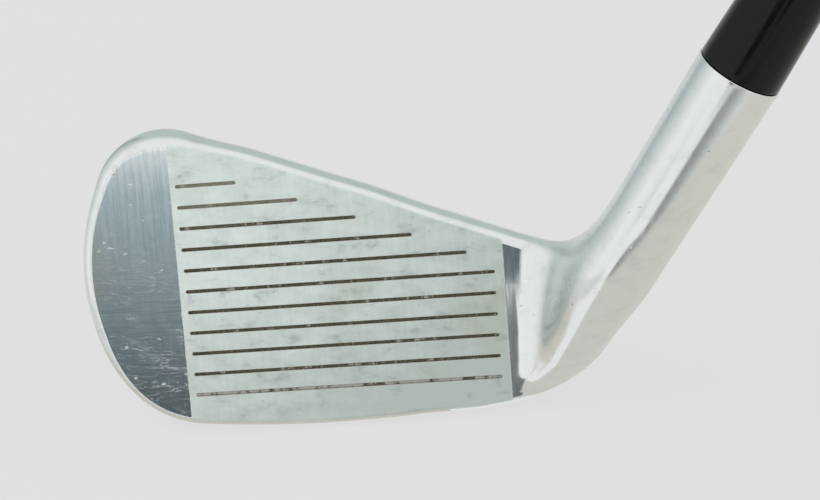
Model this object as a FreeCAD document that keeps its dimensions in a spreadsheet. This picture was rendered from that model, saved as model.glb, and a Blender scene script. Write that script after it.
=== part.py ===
"""Iron golf club: a right-handed long iron, standing at address on the ground.

Frame: millimetres, +Z up. The origin is the point where the sole rests on
the ground, under the middle of the full-length score lines. +X runs along
the score lines from toe to heel and -Y is the way the face looks.
"""
import FreeCAD, Part
import math
import os
import Sketcher

Vector = FreeCAD.Vector
X_AXIS = Vector(1, 0, 0)
Y_AXIS = Vector(0, 1, 0)

SIZES = [
    ("lie_deg", 60.5, "shaft above the ground"),
    ("loft_deg", 23.0, "face leaned back from upright"),
    ("club_len", 984.0, "ground to butt, along the shaft"),
    ("axis_x", 35.1, "where the shaft axis meets the ground"),
    ("axis_y", -3.9, "shaft axis, ahead of the sole's low line"),
    ("face_x", -22.5, "toe end of the score lines"),
    ("face_y", 1.5, "middle score line, behind the low line"),
    ("face_z", 23.6, "middle score line above the ground"),
    ("toe_top_x", -8.6, "outline corner at the top of the toe"),
    ("toe_top_u", 31.9, ""),
    ("toe_top_r", 13.6, ""),
    ("toe_side_x", -19.4, "outline corner at the side of the toe"),
    ("toe_side_u", 4.7, ""),
    ("toe_side_r", 36.4, ""),
    ("toe_low_x", -12.6, "outline corner under the toe"),
    ("toe_low_u", -22.0, ""),
    ("toe_low_r", 15.0, ""),
    ("top_heel_x", 66.4, "outline corner where top line meets neck"),
    ("top_heel_u", 2.8, ""),
    ("blade_heel_x", 61.5, "end of the blade inside the neck"),
    ("heel_slant", 3.5, "heel end leans in at the sole"),
    ("sole_rocker_r", 220.0, "heel to toe"),
    ("sole_camber_r", 40.0, "front to back"),
    ("sole_camber_deg", 18.0, "slope of the sole at its edges"),
    ("sole_back", 11.0, "low line to trailing edge"),
    ("muscle_y", 9.8, "back of the muscle"),
    ("muscle_z", 8.0, ""),
    ("muscle_r", 6.0, ""),
    ("muscle_foot_r", 8.0, "muscle into the thin back"),
    ("muscle_top_u", -4.0, "top of the muscle"),
    ("blade_thick", 5.4, "blade above the muscle"),
    ("trail_mid_x", 18.0, "widest point of the sole"),
    ("trail_mid_n", 21.0, "behind the face plane"),
    ("trail_toe_n", 8.0, "at the toe end of the cut"),
    ("trail_curve_r", 90.0, ""),
    ("trail_heel_x", 47.0, "where the sole starts to narrow"),
    ("trail_heel_n", 16.8, ""),
    ("trail_heel_r", 24.0, ""),
    ("trail_neck_x", 67.0, "end of the narrowing"),
    ("trail_neck_n", 2.5, ""),
    ("front_round", 1.5, "rounded edge around the face"),
    ("back_round", 1.8, "rounded edge around the back"),
    ("trail_round", 1.5, "trailing edge of the sole"),
    ("neck_in_r", 7.6, "curve between top line and hosel"),
    ("neck_out_r", 22.4, "curve between sole and hosel"),
    ("neck_out_x", 53.4, "its centre"),
    ("neck_out_u", -0.1, ""),
    ("neck_out_start_deg", 8.0, "where the neck leaves the sole"),
    ("neck_in_n", -2.9, "start of the crotch, behind the face"),
    ("neck_out_n", -5.4, "start of the heel curve, behind the face"),
    ("neck_half", 4.3, "half thickness where the neck starts"),
    ("neck_end_r", 6.34, "just inside the foot of the hosel"),
    ("neck_lap", 8.0, "how far the neck reaches into the blade"),
    ("hosel_top", 68.4, "ground to ferrule joint, along the shaft"),
    ("hosel_top_r", 6.65, ""),
    ("hosel_low_r", 6.38, ""),
    ("hosel_len", 33.0, "straight part"),
    ("hosel_foot", 0.5, "inside the neck"),
    ("bore_r", 4.85, ""),
    ("bore_depth", 35.0, ""),
    ("line_pitch", 3.6, "score lines"),
    ("line_width", 0.7, ""),
    ("line_depth", 0.45, ""),
    ("line_full", 52.6, "length of the lower score lines"),
    ("ferrule_len", 25.0, ""),
    ("ferrule_low_r", 6.5, ""),
    ("ferrule_mid_r", 6.15, ""),
    ("ferrule_top_r", 5.3, ""),
    ("ferrule_mid", 10.0, "height of the middle size"),
    ("ferrule_chamfer", 0.4, ""),
    ("shaft_tip", 36.4, "ground to shaft tip, along the shaft"),
    ("shaft_wall", 0.65, ""),
    ("tip_r", 4.7, ""),
    ("butt_r", 7.62, ""),
    ("step_first", 270.0, "lowest step"),
    ("step_pitch", 41.0, ""),
    ("step_rise", 1.6, "length of one shoulder"),
    ("weight_stem_r", 3.9, ""),
    ("weight_stem", 18.0, ""),
    ("weight_head_r", 4.6, ""),
    ("band_low", 560.0, "shaft band"),
    ("band_len", 34.0, ""),
    ("band_thick", 0.12, ""),
    ("grip_mouth", 716.0, "ground to grip mouth, along the shaft"),
    ("grip_mouth_r", 9.0, ""),
    ("grip_mid", 940.0, "where the taper ends"),
    ("grip_mid_r", 11.7, ""),
    ("grip_butt_r", 13.4, ""),
    ("tape_thick", 0.25, ""),
    ("cap_thick", 5.0, "grip cap above the shaft"),
    ("cap_skirt", 6.0, "cap beside the shaft"),
    ("cap_round", 2.2, ""),
    ("vent_r", 1.5, "vent hole in the cap"),
]
STEP_COUNT = 11
LINE_COUNT = 11
NECK_RINGS = 12
SHORT_LINES = (10.4, 20.5, 30.1, 39.2, 48.1)

doc = FreeCAD.newDocument("iron")
sheet = doc.addObject("Spreadsheet::Sheet", "Sizes")
for row, (alias, value, note) in enumerate(SIZES, start=2):
    sheet.set("A%d" % row, alias)
    sheet.set("B%d" % row, str(value))
    sheet.set("C%d" % row, note)
    sheet.setAlias("B%d" % row, alias)
doc.recompute()


def size(alias):
    return float(sheet.get(alias))


def cell(text):
    """Turn [name] in an expression into a reference to the sheet."""
    return text.replace("[", "Sizes.").replace("]", "")


def bind(target, **expressions):
    for name, text in expressions.items():
        target.setExpression(name.replace("__", "."), cell(text))


def value_of(target, text):
    return float(target.evalExpression(cell(text)))


# Sketch helpers --------------------------------------------------------

def plane_of(body, role):
    for feature in body.Origin.OriginFeatures:
        if feature.Role == role:
            return feature
    raise ValueError(role)


def new_body(label):
    body = doc.addObject("PartDesign::Body", label)
    body.Label = label
    return body


def new_sketch(body, label, role):
    sketch = body.newObject("Sketcher::SketchObject", label)
    sketch.AttachmentSupport = (plane_of(body, role), [""])
    sketch.MapMode = "FlatFace"
    return sketch


def on_face(sketch, x_text, y_text, z_text):
    """Lean an attached sketch back by the loft, at the middle score line."""
    sketch.AttachmentOffset = FreeCAD.Placement(Vector(), FreeCAD.Rotation(X_AXIS, 67))
    sketch.setExpression("AttachmentOffset.Base.x", cell(x_text))
    sketch.setExpression("AttachmentOffset.Base.y", cell(y_text))
    sketch.setExpression("AttachmentOffset.Base.z", cell(z_text))
    sketch.setExpression("AttachmentOffset.Rotation.Angle", cell("90 deg - [loft_deg] * 1 deg"))


def pin_point(sketch, name, geo, end, x_text, y_text):
    for kind, text in (("DistanceX", x_text), ("DistanceY", y_text)):
        index = sketch.addConstraint(
            Sketcher.Constraint(kind, -1, 1, geo, end, value_of(sketch, text) or 1e-9))
        label = name + kind[-1]
        sketch.renameConstraint(index, label)
        sketch.setExpression("Constraints." + label, cell(text))


def corner_arc(before, corner, after, radius):
    """Return start, middle and end of the arc that rounds a corner."""
    to_before = (before - corner).normalize()
    to_after = (after - corner).normalize()
    half = to_before.getAngle(to_after) / 2
    reach = radius / math.tan(half)
    start = corner + to_before * reach
    end = corner + to_after * reach
    toward = (to_before + to_after).normalize()
    middle = corner + toward * (radius / math.sin(half) - radius)
    return start, middle, end


def corner_loop(sketch, corners):
    """Closed outline through named corners, each sharp or rounded.

    Each corner is (name, x expression, y expression, radius expression or None).
    """
    points = [Vector(value_of(sketch, c[1]), value_of(sketch, c[2]), 0) for c in corners]
    count = len(points)
    arcs = []
    for i, corner in enumerate(corners):
        if corner[3] is None:
            arcs.append((points[i], None, points[i]))
        else:
            radius = value_of(sketch, corner[3])
            arcs.append(corner_arc(points[i - 1], points[i], points[(i + 1) % count], radius))
    lines = []
    for i in range(count):
        segment = Part.LineSegment(arcs[i][2], arcs[(i + 1) % count][0])
        lines.append(sketch.addGeometry(segment, False))
    for i, (name, x_text, y_text, r_text) in enumerate(corners):
        line_in = lines[i - 1]
        line_out = lines[i]
        if r_text is None:
            sketch.addConstraint(Sketcher.Constraint("Coincident", line_in, 2, line_out, 1))
            pin_point(sketch, name, line_out, 1, x_text, y_text)
            continue
        arc = sketch.addGeometry(Part.Arc(*arcs[i]), False)
        turned = (points[i] - points[i - 1]).cross(points[(i + 1) % count] - points[i]).z < 0
        first, last = (2, 1) if turned else (1, 2)
        sketch.addConstraint(Sketcher.Constraint("Tangent", line_in, 2, arc, first))
        sketch.addConstraint(Sketcher.Constraint("Tangent", arc, last, line_out, 1))
        dot = sketch.addGeometry(Part.Point(points[i]), True)
        sketch.addConstraint(Sketcher.Constraint("PointOnObject", dot, 1, line_in))
        sketch.addConstraint(Sketcher.Constraint("PointOnObject", dot, 1, line_out))
        pin_point(sketch, name, dot, 1, x_text, y_text)
        radius_index = sketch.addConstraint(
            Sketcher.Constraint("Radius", arc, value_of(sketch, r_text)))
        sketch.renameConstraint(radius_index, name + "R")
        sketch.setExpression("Constraints." + name + "R", cell(r_text))


def frame_loop(sketch, name, low_x, low_y, high_x, high_y):
    corner_loop(sketch, [
        (name + "a", low_x, low_y, None),
        (name + "b", high_x, low_y, None),
        (name + "c", high_x, high_y, None),
        (name + "d", low_x, high_y, None),
    ])


def cut_through(body, sketch, label):
    """Pocket a sketch all the way through, both ways, and see that it cuts."""
    before = body.Shape.Volume
    pocket = body.newObject("PartDesign::Pocket", label)
    pocket.Profile = sketch
    pocket.Type = "ThroughAll"
    pocket.Midplane = True
    doc.recompute()
    if not pocket.Shape.Volume < before - 1:
        raise ValueError(label + " removes nothing")
    return pocket


# Placements -------------------------------------------------------------

def lean(target, rise="0"):
    """Stand an object on the shaft axis, its own Z along the shaft."""
    target.Placement = FreeCAD.Placement(Vector(), FreeCAD.Rotation(Y_AXIS, 29.5))
    target.setExpression("Placement.Rotation.Angle", cell("90 deg - [lie_deg] * 1 deg"))
    target.setExpression(
        "Placement.Base.x", cell("[axis_x] + (%s) * cos([lie_deg] * 1 deg)" % rise))
    target.setExpression("Placement.Base.y", cell("[axis_y]"))
    target.setExpression("Placement.Base.z", cell("(%s) * sin([lie_deg] * 1 deg)" % rise))


def turned_part(label, corners):
    """Body of revolution about the shaft axis; corners are (radius, height)."""
    body = new_body(label)
    sketch = new_sketch(body, label + "_section", "XZ_Plane")
    corner_loop(sketch, corners)
    doc.recompute()
    turn = body.newObject("PartDesign::Revolution", label + "_turn")
    turn.Profile = sketch
    turn.ReferenceAxis = (sketch, ["V_Axis"])
    turn.Angle = 360
    doc.recompute()
    lean(body)
    doc.recompute()
    return body


# Blade ------------------------------------------------------------------

SLOPE = "tan([sole_camber_deg] * 1 deg)"
VALLEY = "([sole_camber_r] - [sole_camber_r] / cos([sole_camber_deg] * 1 deg))"


def sole_section(body):
    """Front-to-back camber of the sole, to be swung about the rocker's axis."""
    sketch = new_sketch(body, "sole_section", "YZ_Plane")
    front = "-3 * [sole_back]"
    edge_z = VALLEY + " + 3 * [sole_back] * " + SLOPE
    corner_loop(sketch, [
        ("solefront", front, edge_z, None),
        ("valley", "0", VALLEY, "[sole_camber_r]"),
        ("soleback", "3 * [sole_back]", edge_z, None),
        ("roofback", "3 * [sole_back]", "3 * [toe_top_u]", None),
        ("rooffront", front, "3 * [toe_top_u]", None),
    ])
    axis = sketch.addGeometry(Part.LineSegment(Vector(-9, 220, 0), Vector(9, 220, 0)), True)
    pin_point(sketch, "rockera", axis, 1, "-9", "[sole_rocker_r]")
    pin_point(sketch, "rockerb", axis, 2, "9", "[sole_rocker_r]")
    return sketch


def leaned(name, u, n, radius):
    """Corner of an upright section given in the face's own directions."""
    sin_text = "sin([loft_deg] * 1 deg)"
    cos_text = "cos([loft_deg] * 1 deg)"
    return (name,
            "[face_y] + (%s) * %s - (%s) * %s" % (u, sin_text, n, cos_text),
            "[face_z] + (%s) * %s + (%s) * %s" % (u, cos_text, n, sin_text),
            radius)


def front_and_back(body):
    """What the flat face and the muscle back leave out of the bar."""
    sketch = new_sketch(body, "front_and_back", "YZ_Plane")
    high = "4 * [toe_top_u]"
    low = "-2 * [toe_top_u]"
    corner_loop(sketch, [
        leaned("faceup", high, "0", None),
        leaned("frontup", high, "60", None),
        leaned("frontdown", low, "60", None),
        leaned("facedown", low, "0", None),
    ])
    corner_loop(sketch, [
        ("trail", "[sole_back]", "-5", None),
        ("under", "80", "-5", None),
        leaned("behind", high, "-90", None),
        leaned("backup", high, "-[blade_thick]", None),
        leaned("foot", "[muscle_top_u]", "-[blade_thick]", "[muscle_foot_r]"),
        ("muscle", "[muscle_y]", "[muscle_z]", "[muscle_r]"),
    ])
    return sketch


def blade_outline(body):
    """Everything outside the blade's outline, in the plane of the face."""
    sketch = new_sketch(body, "blade_outline", "XY_Plane")
    on_face(sketch, "[face_x]", "[face_y]", "[face_z]")
    top_slope = "([toe_top_u] - [top_heel_u]) / ([top_heel_x] - [toe_top_x])"
    side_slope = "([toe_low_x] - [toe_side_x]) / ([toe_side_u] - [toe_low_u])"
    corner_loop(sketch, [
        ("toetop", "[toe_top_x]", "[toe_top_u]", "[toe_top_r]"),
        ("toeside", "[toe_side_x]", "[toe_side_u]", "[toe_side_r]"),
        ("toedown", "[toe_low_x] + 20 * " + side_slope, "[toe_low_u] - 20", None),
        ("heeldown", "[blade_heel_x] - [heel_slant]", "[toe_low_u] - 20", None),
        ("topheel", "[blade_heel_x]",
         "[top_heel_u] + ([top_heel_x] - [blade_heel_x]) * " + top_slope, None),
    ])
    frame_loop(sketch, "out", "-80", "-90", "130", "90")
    return sketch


def trailing_edge(body):
    """Narrow the sole toward heel and toe, seen along the face."""
    sketch = new_sketch(body, "trailing_edge", "XZ_Plane")
    on_face(sketch, "[face_x]", "[face_z]", "-[face_y]")
    corner_loop(sketch, [
        ("toeend", "[trail_mid_x] - 70", "-[trail_toe_n]", None),
        ("toeout", "[trail_mid_x] - 70", "-60", None),
        ("heelout", "[trail_neck_x]", "-60", None),
        ("heelend", "[trail_neck_x]", "-[trail_neck_n]", None),
        ("narrow", "[trail_heel_x]", "-[trail_heel_n]", "[trail_heel_r]"),
        ("widest", "[trail_mid_x]", "-[trail_mid_n]", "[trail_curve_r]"),
    ])
    return sketch


def face_frame():
    return FreeCAD.Placement(
        Vector(size("face_x"), size("face_y"), size("face_z")),
        FreeCAD.Rotation(X_AXIS, 90 - size("loft_deg")))


def face_point(edge, share):
    """Point along an edge, in the face's own directions."""
    first, last = edge.ParameterRange
    return face_frame().inverse().multVec(edge.valueAt(first + (last - first) * share))


def edges_where(shape, test):
    names = []
    for i, edge in enumerate(shape.Edges, start=1):
        if all(test(face_point(edge, share)) for share in (0.05, 0.35, 0.65, 0.95)):
            names.append("Edge%d" % i)
    return names


def round_edges(body, label, base, names, radius_text):
    rounded = body.newObject("PartDesign::Fillet", label)
    rounded.Base = (base, names)
    bind(rounded, Radius=radius_text)
    doc.recompute()
    return rounded


def toe_corner(shape):
    """The edge between the side of the toe and the sole."""
    names = edges_where(shape, lambda p: p.x < -11.5 and p.y < -12.5 and p.z < -0.01)
    names.sort(key=lambda name: shape.getElement(name).Length)
    return names[-1:]


def front_rim(shape):
    """The face's whole border, but for the end inside the neck."""
    heel_x = size("blade_heel_x") - size("heel_slant") + 0.5
    return edges_where(shape, lambda p: abs(p.z) < 0.01 and p.x < heel_x + p.y * 0.1)


def back_rim(shape):
    """Border of the thin back, above the muscle."""
    back_n = -size("blade_thick")

    def test(p):
        inside = p.x < size("blade_heel_x") - 0.3
        return abs(p.z - back_n) < 0.02 and inside and p.y > size("muscle_top_u") + 4.0

    return edges_where(shape, test)


def sole_rim(shape):
    """Trailing edge of the sole."""
    def test(p):
        deep = -size("trail_mid_n") < p.z < -8.0
        return deep and p.y < -12.3 and -13.0 < p.x < size("blade_heel_x") - 2.0

    return edges_where(shape, test)


def make_blade():
    body = new_body("blade")
    section = sole_section(body)
    doc.recompute()
    bar = body.newObject("PartDesign::Revolution", "sole_bar")
    bar.Profile = section
    bar.ReferenceAxis = (section, ["Axis0"])
    bar.Midplane = True
    bar.Angle = 40
    doc.recompute()
    sketch = front_and_back(body)
    doc.recompute()
    cut_through(body, sketch, "face_and_back_cut")
    sketch = blade_outline(body)
    doc.recompute()
    cut = cut_through(body, sketch, "outline_cut")
    round_edges(body, "toe_corner", cut, toe_corner(cut.Shape), "[toe_low_r]")
    sketch = trailing_edge(body)
    doc.recompute()
    cut = cut_through(body, sketch, "trailing_cut")
    back = round_edges(body, "back_rim", cut, back_rim(cut.Shape), "[back_round]")
    front = round_edges(body, "front_rim", back, front_rim(back.Shape), "[front_round]")
    round_edges(body, "sole_rim", front, sole_rim(front.Shape), "[trail_round]")
    return body


# Neck and hosel ---------------------------------------------------------

class Bend:
    """The bend from blade to hosel, seen square to the face."""

    def __init__(self):
        lie = math.radians(size("lie_deg"))
        loft = math.radians(size("loft_deg"))
        self.rise = math.atan2(math.sin(lie) * math.cos(loft), math.cos(lie))
        self.drop = math.atan2(size("toe_top_u") - size("top_heel_u"),
                               size("top_heel_x") - size("toe_top_x"))
        self.in_r = size("neck_in_r")
        self.out_r = size("neck_out_r")
        low = size("hosel_top") - size("hosel_len")
        axis = Vector(math.cos(lie), 0, math.sin(lie))
        across = Vector(math.sin(lie), 0, -math.cos(lie)) * size("neck_end_r")
        centre = Vector(size("axis_x"), size("axis_y"), 0) + axis * low
        to_face = face_frame().inverse()
        self.ring_in = to_face.multVec(centre - across)
        self.ring_out = to_face.multVec(centre + across)
        reach = self.in_r * math.tan((self.rise + self.drop) / 2)
        self.in_x = (size("top_heel_x") - reach * math.cos(self.drop)
                     + self.in_r * math.sin(self.drop))
        self.in_u = (size("top_heel_u") + reach * math.sin(self.drop)
                     + self.in_r * math.cos(self.drop))

    def inner(self, share):
        """Point on the crotch between top line and hosel."""
        angle = -self.drop + (self.rise + self.drop) * share
        level = size("neck_in_n") + (self.ring_in.z - size("neck_in_n")) * share
        return Vector(self.in_x + self.in_r * math.sin(angle),
                      self.in_u - self.in_r * math.cos(angle), level)

    def outer(self, share):
        """Point on the curve of the heel, then straight up the hosel."""
        arc_end = Vector(size("neck_out_x") + self.out_r * math.sin(self.rise),
                         size("neck_out_u") - self.out_r * math.cos(self.rise), 0)
        straight = Vector(self.ring_out.x, self.ring_out.y, 0) - arc_end
        start = math.radians(size("neck_out_start_deg"))
        arc_len = self.out_r * (self.rise - start)
        along = share * (arc_len + straight.Length)
        first = size("neck_out_n")
        level = first + (self.ring_out.z - first) * (0.63 * share + 0.37 * share ** 2)
        if along <= arc_len:
            angle = start + along / self.out_r
            return Vector(size("neck_out_x") + self.out_r * math.sin(angle),
                          size("neck_out_u") - self.out_r * math.cos(angle), level)
        point = arc_end + straight * ((along - arc_len) / straight.Length)
        return Vector(point.x, point.y, level)

    def half(self, share):
        """Half the thickness of the neck, front to back."""
        first = size("neck_half")
        return first + (size("neck_end_r") - first) * (1 - (1 - share) ** 2)


def neck_ring(inner, outer, half, turn):
    """Closed section between two points of the bend, in four arcs.

    It faces along the bend. As turn goes from 0 at the blade to 1 at the
    hosel, it goes from blunt and flat-sided to round, and turns with the loft.
    """
    centre = (inner + outer) / 2
    reach = (outer - inner).Length / 2
    major = (outer - inner).normalize()
    lean_angle = math.radians(size("loft_deg")) * turn
    minor = Vector(0, math.sin(lean_angle), -math.cos(lean_angle))
    minor = (minor - major * minor.dot(major)).normalize()
    power = 2 / (3.2 - 1.2 * turn)
    arcs = []
    for along, side, long_way, short_way in ((major, minor, reach, half),
                                             (minor, -major, half, reach),
                                             (-major, -minor, reach, half),
                                             (-minor, major, half, reach)):
        points = []
        for i in range(7):
            angle = math.pi / 2 * i / 6
            points.append(centre + along * long_way * math.cos(angle) ** power
                          + side * short_way * math.sin(angle) ** power)
        points[-1] = centre + side * short_way
        curve = Part.BSplineCurve()
        curve.interpolate(Points=points, InitialTangent=side, FinalTangent=-along)
        arcs.append(curve.toShape())
    return Part.Wire(arcs)


def make_neck():
    """Swept bend from the heel of the blade up to the hosel."""
    bend = Bend()
    back = Vector(-size("neck_lap"), 0, 0)
    rings = [neck_ring(bend.inner(0) + back + Vector(0, -0.5, 0),
                       bend.outer(0) + back + Vector(0, 3.5, 0), bend.half(0) * 0.6, 0.0)]
    for i in range(NECK_RINGS + 1):
        share = i / NECK_RINGS
        rings.append(neck_ring(bend.inner(share), bend.outer(share), bend.half(share), share))
    neck = doc.addObject("Part::Feature", "neck")
    neck.Shape = Part.makeLoft(rings, True, True)
    neck.Placement = face_frame()
    return neck


def make_hosel():
    """Tapered hosel; its foot stands a little way inside the neck."""
    hosel = doc.addObject("Part::Cone", "hosel")
    taper = "([hosel_top_r] - [hosel_low_r]) / [hosel_len]"
    bind(hosel,
         Radius1="[hosel_low_r] - [hosel_foot] * " + taper,
         Radius2="[hosel_top_r]",
         Height="[hosel_len] + [hosel_foot]")
    lean(hosel, "[hosel_top] - [hosel_len] - [hosel_foot]")
    return hosel


def make_bore():
    """Blind bore for the shaft, with a drill point."""
    hole = doc.addObject("Part::Cylinder", "hosel_hole")
    bind(hole, Radius="[bore_r]", Height="[bore_depth] + 5")
    lean(hole, "[hosel_top] - [bore_depth]")
    point = doc.addObject("Part::Cone", "hosel_hole_point")
    bind(point, Radius1="0", Radius2="[bore_r]", Height="[bore_r] / 2")
    lean(point, "[hosel_top] - [bore_depth] - [bore_r] / 2")
    return hole, point


def make_score_lines():
    """Cutter for the straight lines, rounded at both ends."""
    body = new_body("score_lines")
    sketch = new_sketch(body, "score_line_plan", "XY_Plane")
    on_face(sketch, "[face_x]", "[face_y]", "[face_z]")
    half = size("line_width") / 2
    for i in range(LINE_COUNT):
        level = "%d * [line_pitch]" % (LINE_COUNT // 2 - i)
        length = str(SHORT_LINES[i]) if i < len(SHORT_LINES) else "[line_full]"
        start = Vector(half, value_of(sketch, level), 0)
        end = Vector(value_of(sketch, length) - half, start.y, 0)
        up = Vector(0, half, 0)
        left = Part.Arc(start + up, start - Vector(half, 0, 0), start - up)
        right = Part.Arc(end - up, end + Vector(half, 0, 0), end + up)
        first = sketch.addGeometry(left, False)
        low = sketch.addGeometry(Part.LineSegment(start - up, end - up), False)
        last = sketch.addGeometry(right, False)
        high = sketch.addGeometry(Part.LineSegment(end + up, start + up), False)
        for one, one_end, two, two_end in ((first, 2, low, 1), (low, 2, last, 1),
                                           (last, 2, high, 1), (high, 2, first, 1)):
            sketch.addConstraint(Sketcher.Constraint("Tangent", one, one_end, two, two_end))
        sketch.addConstraint(Sketcher.Constraint("Horizontal", low))
        name = "line%d" % (i + 1)
        pin_point(sketch, name + "start", first, 3, "[line_width] / 2", level)
        span = sketch.addConstraint(
            Sketcher.Constraint("DistanceX", first, 3, last, 3, end.x - start.x))
        sketch.renameConstraint(span, name + "span")
        sketch.setExpression("Constraints." + name + "span",
                             cell(length + " - [line_width]"))
    doc.recompute()
    pad = body.newObject("PartDesign::Pad", "score_line_depth")
    pad.Profile = sketch
    pad.Midplane = True
    bind(pad, Length="2 * [line_depth]")
    doc.recompute()
    return body


def make_head():
    shapes = [make_blade(), make_neck(), make_hosel()]
    solid = doc.addObject("Part::MultiFuse", "head_solid")
    solid.Shapes = shapes
    doc.recompute()
    if len(solid.Shape.Solids) != 1:
        raise ValueError("the head is not one solid")
    cutters = doc.addObject("Part::MultiFuse", "head_cutters")
    cutters.Shapes = [*make_bore(), make_score_lines()]
    doc.recompute()
    head = doc.addObject("Part::Cut", "head")
    head.Label = "head"
    head.Base = solid
    head.Tool = cutters
    doc.recompute()
    return head


# Parts on the shaft axis --------------------------------------------------

def make_ferrule():
    return turned_part("ferrule", [
        ("bore_low", "[tip_r]", "[hosel_top]", None),
        ("rim_low", "[ferrule_low_r]", "[hosel_top]", None),
        ("waist", "[ferrule_mid_r]", "[hosel_top] + [ferrule_mid]", "60"),
        ("rim_high", "[ferrule_top_r]", "[hosel_top] + [ferrule_len]", "[ferrule_chamfer]"),
        ("bore_high", "[tip_r]", "[hosel_top] + [ferrule_len]", None),
    ])


def make_bond():
    return turned_part("hosel_epoxy", [
        ("in_low", "[tip_r]", "[shaft_tip]", None),
        ("out_low", "[bore_r]", "[shaft_tip]", None),
        ("out_high", "[bore_r]", "[hosel_top]", None),
        ("in_high", "[tip_r]", "[hosel_top]", None),
    ])


def make_weight():
    return turned_part("tip_weight", [
        ("low", "0", "[hosel_top] - [bore_depth]", None),
        ("head_low", "[weight_head_r]", "[hosel_top] - [bore_depth]", None),
        ("head_high", "[weight_head_r]", "[shaft_tip]", None),
        ("stem_low", "[weight_stem_r]", "[shaft_tip]", None),
        ("stem_high", "[weight_stem_r]", "[shaft_tip] + [weight_stem]", "0.5"),
        ("high", "0", "[shaft_tip] + [weight_stem]", None),
    ])


def shaft_walls():
    """Outside of the stepped tube from tip to butt, as (radius, height)."""
    walls = [("[tip_r]", "[shaft_tip]")]
    for i in range(STEP_COUNT):
        low = "[step_first] + %d * [step_pitch]" % i
        radius = "[tip_r] + ([butt_r] - [tip_r]) * %d / %d"
        walls.append((radius % (i, STEP_COUNT), low))
        walls.append((radius % (i + 1, STEP_COUNT), low + " + [step_rise]"))
    walls.append(("[butt_r]", "[club_len] - [cap_thick]"))
    return walls


def make_shaft():
    outside = shaft_walls()
    corners = []
    for i, (radius, height) in enumerate(outside):
        corners.append(("out%d" % i, radius, height, None))
    for i, (radius, height) in reversed(list(enumerate(outside))):
        corners.append(("in%d" % i, radius + " - [shaft_wall]", height, None))
    return turned_part("shaft", corners)


def make_band():
    """Thin label band round the shaft, between two steps."""
    shaft_r = "([tip_r] + ([butt_r] - [tip_r]) * 8 / %d)" % STEP_COUNT
    return turned_part("shaft_band", [
        ("in_low", shaft_r, "[band_low]", None),
        ("out_low", shaft_r + " + [band_thick]", "[band_low]", None),
        ("out_high", shaft_r + " + [band_thick]", "[band_low] + [band_len]", None),
        ("in_high", shaft_r, "[band_low] + [band_len]", None),
    ])


def make_tape():
    high = "[club_len] - [cap_thick]"
    return turned_part("grip_tape", [
        ("in_low", "[butt_r]", "[grip_mouth] + 2", None),
        ("out_low", "[butt_r] + [tape_thick]", "[grip_mouth] + 2", None),
        ("out_high", "[butt_r] + [tape_thick]", high, None),
        ("in_high", "[butt_r]", high, None),
    ])


def make_sleeve():
    inside = "[butt_r] + [tape_thick]"
    high = "[club_len] - [cap_thick] - [cap_skirt]"
    return turned_part("grip_sleeve", [
        ("mouth_in", inside, "[grip_mouth]", None),
        ("mouth_out", "[grip_mouth_r]", "[grip_mouth]", "0.8"),
        ("body_end", "[grip_mid_r]", "[grip_mid]", "150"),
        ("butt_out", "[grip_butt_r]", high, None),
        ("butt_in", inside, high, None),
    ])


def make_cap():
    skirt = "[club_len] - [cap_thick] - [cap_skirt]"
    seat = "[club_len] - [cap_thick]"
    inside = "[butt_r] + [tape_thick]"
    return turned_part("grip_cap", [
        ("skirt_in", inside, skirt, None),
        ("skirt_out", "[grip_butt_r]", skirt, None),
        ("crown", "[grip_butt_r]", "[club_len]", "[cap_round]"),
        ("vent_high", "[vent_r]", "[club_len]", None),
        ("vent_low", "[vent_r]", seat, None),
        ("seat", inside, seat, None),
    ])


def check_and_write(parts):
    for item in doc.Objects:
        if "Invalid" in item.State or "Error" in item.State:
            raise ValueError("%s: %s" % (item.Label, item.State))
    os.makedirs("parts", exist_ok=True)
    for part in parts:
        shape = part.Shape
        if shape.isNull() or not shape.isValid() or len(shape.Solids) != 1:
            raise ValueError(part.Label + " is not one sound solid")
    for part in parts:
        part.Shape.exportStep("parts/%s.step" % part.Label)
        print(part.Label, round(part.Shape.Volume, 1))


PARTS = [
    make_head(),
    make_ferrule(),
    make_bond(),
    make_weight(),
    make_shaft(),
    make_band(),
    make_tape(),
    make_sleeve(),
    make_cap(),
]
doc.recompute()
check_and_write(PARTS)
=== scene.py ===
import math

import bmesh
import bpy
import numpy as np
from mathutils import Matrix, Vector


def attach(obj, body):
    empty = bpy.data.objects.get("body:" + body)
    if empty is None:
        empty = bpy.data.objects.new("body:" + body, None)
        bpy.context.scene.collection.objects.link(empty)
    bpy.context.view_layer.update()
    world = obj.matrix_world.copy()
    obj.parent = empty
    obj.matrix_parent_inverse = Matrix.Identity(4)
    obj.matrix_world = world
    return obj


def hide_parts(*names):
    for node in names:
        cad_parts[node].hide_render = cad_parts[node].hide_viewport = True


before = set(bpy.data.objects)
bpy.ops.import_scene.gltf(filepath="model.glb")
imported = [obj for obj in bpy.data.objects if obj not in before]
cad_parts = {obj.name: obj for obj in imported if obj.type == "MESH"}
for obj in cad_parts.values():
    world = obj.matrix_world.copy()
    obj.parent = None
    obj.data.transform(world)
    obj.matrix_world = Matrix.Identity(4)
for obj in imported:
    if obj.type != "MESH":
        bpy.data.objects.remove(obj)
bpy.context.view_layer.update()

MM = 0.001

# The lie of the shaft and the loft of the face, with the face's own origin in the row frame (mm).
LIE = math.radians(60.5)
LOFT = math.radians(23.0)
FACE_ORIGIN = np.array((-22.5, 1.5, 23.6))
AXIS_FOOT = np.array((35.1, -3.9, 0.0))
AXIS_DIR = np.array((math.cos(LIE), 0.0, math.sin(LIE)))

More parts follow.
